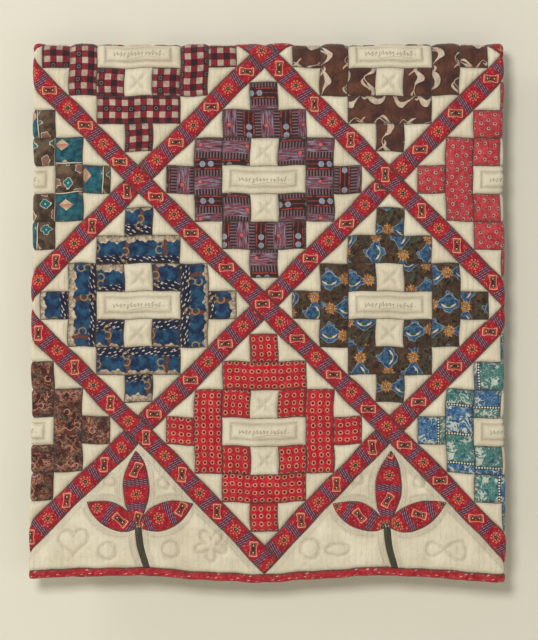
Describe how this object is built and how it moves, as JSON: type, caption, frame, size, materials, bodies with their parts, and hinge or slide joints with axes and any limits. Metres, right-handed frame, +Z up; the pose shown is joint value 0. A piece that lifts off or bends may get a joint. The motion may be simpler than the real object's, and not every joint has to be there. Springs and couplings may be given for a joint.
{
  "type": "quilt on a rack",
  "caption": "Patchwork friendship album quilt, folded over the slat of a low wall rack that stays hidden behind it.",
  "frame": {"origin": "middle of the four wall screw holes, on the wall board's back face, which lies on the wall", "axes": "+Z up, -Y out of the wall towards the viewer, +X to the viewer's right"},
  "size_m": [0.751, 0.0697, 0.8522],
  "materials": {
    "muslin": "washed unbleached muslin, yellowed by age",
    "backing_muslin": "plain muslin",
    "cotton_batting": "carded cotton wadding",
    "sash_print": "red figured calico",
    "stem_cloth": "dark green-black cotton",
    "binding_calico": "red calico with pale flecks",
    "print_maroon_wave": "maroon-brown calico with pale wavy sprigs",
    "print_red_rings": "bright red calico with small gold rings",
    "print_teal_sprig": "blue and teal calico with pale sprigs",
    "print_blue_chintz": "blue chintz with cream and gold scrolls",
    "print_brown_floral": "dark brown chintz with blue and gold flowers",
    "print_large_chintz": "brown and teal chintz with large flowers",
    "print_purple_stripe": "plum striped print with small discs",
    "print_pink_dot": "pinkish red calico with small dotted rings",
    "print_plaid": "red, maroon, black and cream checked plaid",
    "print_brown_swirl": "brown print with cream swirls",
    "board_wood": "oiled hardwood",
    "rail_wood": "planed hardwood, waxed",
    "bracket_paint": "black enamel on bent steel",
    "screw_steel": "zinc-plated steel"
  },
  "bodies": {
    "rack": {"wall_board": "board_wood", "bracket_left": "bracket_paint", "bracket_right": "bracket_paint", "bracket_screws": "screw_steel"},
    "rail": {"rail": "rail_wood"},
    "quilt": {"backing_middle": "backing_muslin", "backing_turned_left": "backing_muslin", "backing_turned_right": "backing_muslin", "batting_middle": "cotton_batting", "batting_turned_left": "cotton_batting", "batting_turned_right": "cotton_batting", "binding_back_hem": "binding_calico", "binding_edge_left": "binding_calico", "binding_edge_right": "binding_calico", "binding_front_hem": "binding_calico", "block_row1_left": "print_maroon_wave", "block_row1_middle": "print_red_rings", "block_row1_right": "print_teal_sprig", "block_row2_left": "print_blue_chintz", "block_row2_right": "print_brown_floral", "block_row3_left": "print_large_chintz", "block_row3_middle": "print_purple_stripe", "block_row3_right": "print_pink_dot", "block_row4_left": "print_plaid", "block_row4_right": "print_brown_swirl", "block_row5_left": "print_teal_sprig", "block_row5_middle": "print_brown_floral", "block_row5_right": "print_maroon_wave", "block_row6_left": "print_red_rings", "block_row6_right": "print_purple_stripe", "block_row7_left": "print_pink_dot", "block_row7_middle": "print_blue_chintz", "block_row7_right": "print_large_chintz", "border_back_left": "muslin", "border_back_right": "muslin", "border_front_left": "muslin", "border_front_right": "muslin", "sash_long_1": "sash_print", "sash_long_2": "sash_print", "sash_long_3": "sash_print", "sash_long_4": "sash_print", "sash_long_5": "sash_print", "sash_short_1": "sash_print", "sash_short_2": "sash_print", "sash_short_3": "sash_print", "sash_short_4": "sash_print", "sash_short_5": "sash_print", "tulip_leaves_back": "sash_print", "tulip_leaves_front": "sash_print", "tulip_stems_back": "stem_cloth", "tulip_stems_front": "stem_cloth", "turned_patchwork_left": "muslin", "turned_patchwork_right": "muslin"}
  },
  "joints": [
    {"name": "rail_lift", "type": "slide", "parent": "rack", "child": "rail", "axis": [0, 0, 1], "range_m": [0, 0.045]},
    {"name": "quilt_lift", "type": "slide", "parent": "rail", "child": "quilt", "axis": [0, 0, 1], "range_m": [0, 0.9]}
  ]
}
